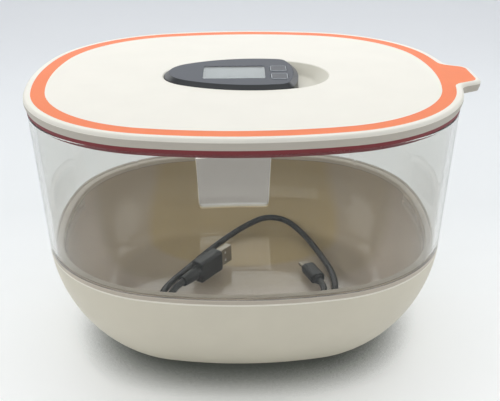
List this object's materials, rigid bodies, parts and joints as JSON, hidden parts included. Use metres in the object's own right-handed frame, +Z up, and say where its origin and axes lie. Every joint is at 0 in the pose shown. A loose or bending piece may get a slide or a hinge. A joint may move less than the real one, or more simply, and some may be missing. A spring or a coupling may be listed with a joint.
{
  "type": "dough proofer",
  "caption": "Oval dough proofer: warmed base, clear lift-out bowl, sealed lid with a display module and keys, and a lead with two plugs.",
  "frame": {"origin": "on the surface that the feet stand on, under the middle of the overall length and depth", "axes": "+Z up, +X to the right of the front, towards the lid's pull tab, +Y to the rear, where the notch and the power socket are"},
  "size_m": [0.2588, 0.223, 0.1646],
  "materials": {
    "cream_plastic": "satin moulded",
    "taupe_plastic": "matte moulded",
    "aluminium": "rolled",
    "film": "polyimide film",
    "board_green": "coated board",
    "black_plastic": "fine matte",
    "steel": "plated",
    "clear_plastic": "clear gloss",
    "lid_cream": "smooth moulded",
    "orange_silicone": "soft matte",
    "red_silicone": "soft matte",
    "case_grey": "fine matte",
    "face_grey": "satin",
    "window_clear": "clear gloss",
    "lcd_grey": "glass panel",
    "key_grey": "soft matte",
    "tongue_white": "moulded"
  },
  "bodies": {
    "base": {"base_shell": "cream_plastic", "base_liner": "taupe_plastic", "heater_plate": "aluminium", "heater_film": "film", "heater_sensor": "black_plastic", "control_board": "board_green", "power_socket": "steel", "socket_bezel": "black_plastic", "liner_screws": "steel", "board_screws": "steel", "foot_front_left": "red_silicone", "foot_front_right": "red_silicone", "foot_rear_left": "red_silicone", "foot_rear_right": "red_silicone"},
    "bowl": {"clear_bowl": "clear_plastic", "power_lead": "black_plastic", "usb_plug_grip": "black_plastic", "usb_plug_shell": "steel", "usb_plug_tongue": "tongue_white", "power_plug_grip": "black_plastic", "power_plug_tip": "steel"},
    "lid": {"lid_cover": "lid_cream", "lid_inlay": "orange_silicone", "lid_seal": "red_silicone", "lid_inner_panel": "lid_cream"},
    "module": {"module_case": "case_grey", "module_face": "face_grey", "display_window": "window_clear", "lcd_panel": "lcd_grey", "module_board": "board_green", "key_switches": "black_plastic", "cell_holder": "black_plastic", "coin_cell": "steel", "cell_door": "case_grey", "sensor_stub": "black_plastic", "module_screws": "steel"},
    "front_key": {"key_front": "key_grey"},
    "rear_key": {"key_rear": "key_grey"}
  },
  "joints": [
    {"name": "bowl_lift", "type": "slide", "parent": "base", "child": "bowl", "axis": [0, 0, 1], "range_m": [0, 0.12]},
    {"name": "lid_lift", "type": "slide", "parent": "bowl", "child": "lid", "axis": [0, 0, 1], "range_m": [0, 0.06]},
    {"name": "module_lift", "type": "slide", "parent": "lid", "child": "module", "axis": [0, 0, 1], "range_m": [0, 0.03]},
    {"name": "front_key_press", "type": "slide", "parent": "module", "child": "front_key", "axis": [0, 0, -1], "range_m": [0, 0.0005], "stiffness_N_per_m": 1500, "springref_m": -0.0004},
    {"name": "rear_key_press", "type": "slide", "parent": "module", "child": "rear_key", "axis": [0, 0, -1], "range_m": [0, 0.0005], "stiffness_N_per_m": 1500, "springref_m": -0.0004}
  ]
}
